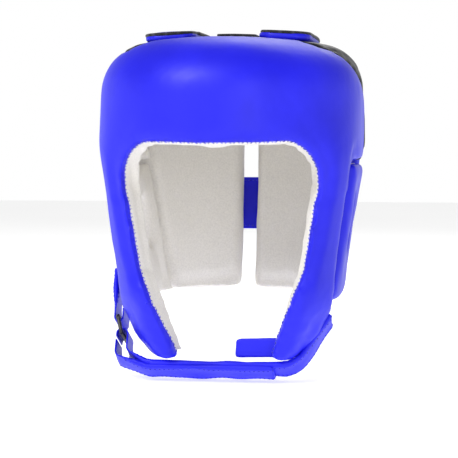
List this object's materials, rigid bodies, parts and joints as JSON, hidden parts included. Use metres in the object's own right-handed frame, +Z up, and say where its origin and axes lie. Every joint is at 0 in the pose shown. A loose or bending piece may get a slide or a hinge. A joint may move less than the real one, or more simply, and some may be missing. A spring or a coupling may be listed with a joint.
{
  "type": "boxing headgear",
  "caption": "Open-face padded boxing headgear with ear holes, lifting crown pads, a rear closing flap and a chin strap through a ring.",
  "frame": {"origin": "middle of the bounding box's underside, at the lowest line of the chin strap", "axes": "+Z up, the face opening looks towards -Y, +X towards the wearer's left"},
  "size_m": [0.213, 0.2505, 0.2773],
  "materials": {
    "blue_leather": "smooth synthetic leather, semi-matte, saturated blue",
    "blue_webbing": "folded synthetic leather strap, semi-matte blue",
    "suede_lining": "napped off-white lining cloth",
    "black_fabric": "woven black fabric",
    "black_webbing": "ribbed black tape",
    "hook_and_loop": "black hook-and-loop tape",
    "black_plastic": "moulded black plastic",
    "foam": "closed-cell foam"
  },
  "bodies": {
    "shell": {"front_cover": "blue_leather", "front_foam": "foam", "front_lining": "suede_lining", "crown_cover": "black_fabric", "crown_foam": "foam", "crown_lining": "suede_lining", "ear_cover_left": "blue_leather", "ear_foam_left": "foam", "ear_lining_left": "suede_lining", "ear_cover_right": "blue_leather", "ear_foam_right": "foam", "ear_lining_right": "suede_lining", "rear_cover_left": "blue_leather", "rear_foam_left": "foam", "rear_lining_left": "suede_lining", "rear_cover_right": "blue_leather", "rear_foam_right": "foam", "rear_lining_right": "suede_lining", "crown_loop_strap": "black_webbing", "crown_strap_seam": "black_webbing", "rear_flap_seam": "blue_leather", "rear_loop_patch": "hook_and_loop", "chin_strap": "blue_webbing", "chin_side_strap": "blue_webbing", "chin_tab": "blue_leather"},
    "crown_pad_left": {"crown_pad_cover_left": "blue_leather", "crown_pad_foam_left": "foam", "crown_pad_binding_left": "black_webbing"},
    "crown_pad_right": {"crown_pad_cover_right": "blue_leather", "crown_pad_foam_right": "foam", "crown_pad_binding_right": "black_webbing"},
    "crown_strap": {"crown_hook_strap": "black_webbing"},
    "rear_closure": {"rear_flap": "blue_leather", "rear_hook_patch": "hook_and_loop"},
    "chin_tail": {"chin_strap_tail": "blue_webbing"},
    "chin_ring": {"chin_ring": "black_plastic"}
  },
  "joints": [
    {"name": "crown_pad_left_lift", "type": "hinge", "parent": "shell", "child": "crown_pad_left", "pos_m": [0.0675, 0, 0.2635], "axis": [0, 1, 0], "range_deg": [0, 40]},
    {"name": "crown_pad_right_lift", "type": "hinge", "parent": "shell", "child": "crown_pad_right", "pos_m": [-0.0675, 0, 0.2635], "axis": [0, -1, 0], "range_deg": [0, 40]},
    {"name": "crown_strap_peel", "type": "hinge", "parent": "shell", "child": "crown_strap", "pos_m": [0.0137, -0.023, 0.2752], "axis": [0, 1, 0], "range_deg": [0, 110]},
    {"name": "rear_closure_peel", "type": "hinge", "parent": "shell", "child": "rear_closure", "pos_m": [-0.0343, 0.1236, 0.135], "axis": [0, 0, 1], "range_deg": [0, 100]},
    {"name": "chin_tail_peel", "type": "hinge", "parent": "shell", "child": "chin_tail", "pos_m": [-0.08975, -0.03949, 0.0279], "axis": [0, 0.8988, -0.4384], "range_deg": [0, 110]},
    {"name": "chin_ring_swing", "type": "hinge", "parent": "shell", "child": "chin_ring", "pos_m": [-0.088, -0.0319, 0.04345], "axis": [0, 0.8988, -0.4384], "range_deg": [-6, 6]}
  ]
}
